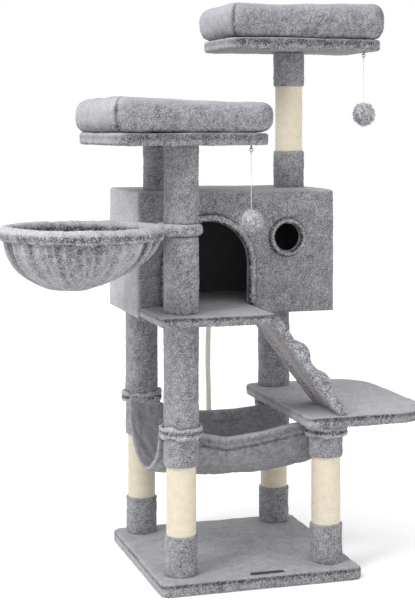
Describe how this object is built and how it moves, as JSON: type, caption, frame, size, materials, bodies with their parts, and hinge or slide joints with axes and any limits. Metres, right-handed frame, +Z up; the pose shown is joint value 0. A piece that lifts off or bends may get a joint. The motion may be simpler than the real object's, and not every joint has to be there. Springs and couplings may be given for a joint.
{
  "type": "cat tree",
  "caption": "Free-standing cat tree with sisal posts, a cabin with an arched door, two bolstered perches, a hanging basket, a hammock, a ramp, swinging toys and a rope.",
  "frame": {"origin": "centre of the base's underside, on the floor", "axes": "+Z up, +Y towards the back, +X towards the right-hand side seen from the front"},
  "size_m": [1.064, 0.619, 1.4],
  "materials": {
    "board": "raw particle board",
    "lined_board": "board lined with dark felt",
    "plush": "short heather-grey plush pile",
    "hammock_plush": "short grey plush, two layers",
    "bed_plush": "longer soft heather-grey plush pile",
    "sisal": "wound natural sisal rope",
    "card": "wound paper tube",
    "plug_plastic": "moulded plug",
    "bolt_steel": "zinc-plated steel",
    "string": "thin twisted off-white string",
    "pompom": "long grey pile",
    "rope_fibre": "twisted natural-fibre rope",
    "tag": "plain woven tag"
  },
  "bodies": {
    "frame": {"back_right_upper_plush": "plush", "base_board": "board", "base_cover": "plush", "base_tag": "tag", "basket_post_plush": "plush", "big_perch_board": "board", "big_perch_cover": "plush", "cabin_back_wall": "lined_board", "cabin_cover": "plush", "cabin_floor_board": "board", "cabin_floor_cover": "plush", "cabin_front_wall": "lined_board", "cabin_roof": "lined_board", "cabin_side_walls": "lined_board", "cabin_wall_screws": "bolt_steel", "column_sleeves": "plush", "door_trim": "plush", "foot_sleeves": "plush", "frame_bolts": "bolt_steel", "hammock_cloth": "hammock_plush", "hammock_loops": "plush", "high_perch_board": "board", "high_perch_cover": "plush", "joining_studs": "bolt_steel", "left_posts_plush": "plush", "left_upper_plush": "plush", "lower_platform_board": "board", "lower_platform_cover": "plush", "post_tubes": "card", "ramp_board": "board", "ramp_cover": "plush", "ramp_rungs": "board", "ramp_screws": "bolt_steel", "right_posts_plush": "plush", "screw_eyes": "bolt_steel", "sisal_windings": "sisal", "tube_end_plugs": "plug_plastic", "window_trim": "plush"},
    "big_bed": {"big_bed_bolster": "bed_plush", "big_bed_pad": "bed_plush"},
    "high_bed": {"high_bed_bolster": "bed_plush", "high_bed_pad": "bed_plush"},
    "basket": {"basket_hoop": "bolt_steel", "basket_bracket": "board", "basket_tongue": "plush", "basket_hem": "bed_plush", "basket_bag": "bed_plush"},
    "left_toy_link": {"left_toy_ring": "bolt_steel"},
    "left_toy": {"left_toy_knot": "string", "left_toy_string": "string", "left_toy_ball": "pompom"},
    "right_toy_link": {"right_toy_ring": "bolt_steel"},
    "right_toy": {"right_toy_knot": "string", "right_toy_string": "string", "right_toy_ball": "pompom"},
    "rope_link": {"rope_ring": "bolt_steel"},
    "rope_body": {"rope_top_knot": "rope_fibre", "rope": "rope_fibre", "rope_end_knot": "rope_fibre"}
  },
  "joints": [
    {"name": "big_bed_lift", "type": "slide", "parent": "frame", "child": "big_bed", "axis": [0, 0, 1], "range_m": [0, 0.08]},
    {"name": "high_bed_lift", "type": "slide", "parent": "frame", "child": "high_bed", "axis": [0, 0, 1], "range_m": [0, 0.08]},
    {"name": "basket_swivel", "type": "hinge", "parent": "frame", "child": "basket", "pos_m": [-0.183, -0.174, 0.8425], "axis": [0, 0, 1], "range_deg": [-2, 80]},
    {"name": "left_toy_sideways", "type": "hinge", "parent": "frame", "child": "left_toy_link", "pos_m": [-0.0275, -0.23, 1.033], "axis": [0, 1, 0], "range_deg": [-60, 20]},
    {"name": "left_toy_forwards", "type": "hinge", "parent": "left_toy_link", "child": "left_toy", "pos_m": [-0.0275, -0.23, 1.0271], "axis": [1, 0, 0], "range_deg": [-60, 45]},
    {"name": "right_toy_sideways", "type": "hinge", "parent": "frame", "child": "right_toy_link", "pos_m": [0.347, -0.025, 1.27], "axis": [0, 1, 0], "range_deg": [-60, 30]},
    {"name": "right_toy_forwards", "type": "hinge", "parent": "right_toy_link", "child": "right_toy", "pos_m": [0.347, -0.025, 1.2641], "axis": [1, 0, 0], "range_deg": [-60, 45]},
    {"name": "rope_sideways", "type": "hinge", "parent": "frame", "child": "rope_link", "pos_m": [0.008, 0.226, 0.603], "axis": [0, 1, 0], "range_deg": [-18, 18]},
    {"name": "rope_forwards", "type": "hinge", "parent": "rope_link", "child": "rope_body", "pos_m": [0.008, 0.226, 0.5911], "axis": [1, 0, 0], "range_deg": [-8, 45]}
  ]
}
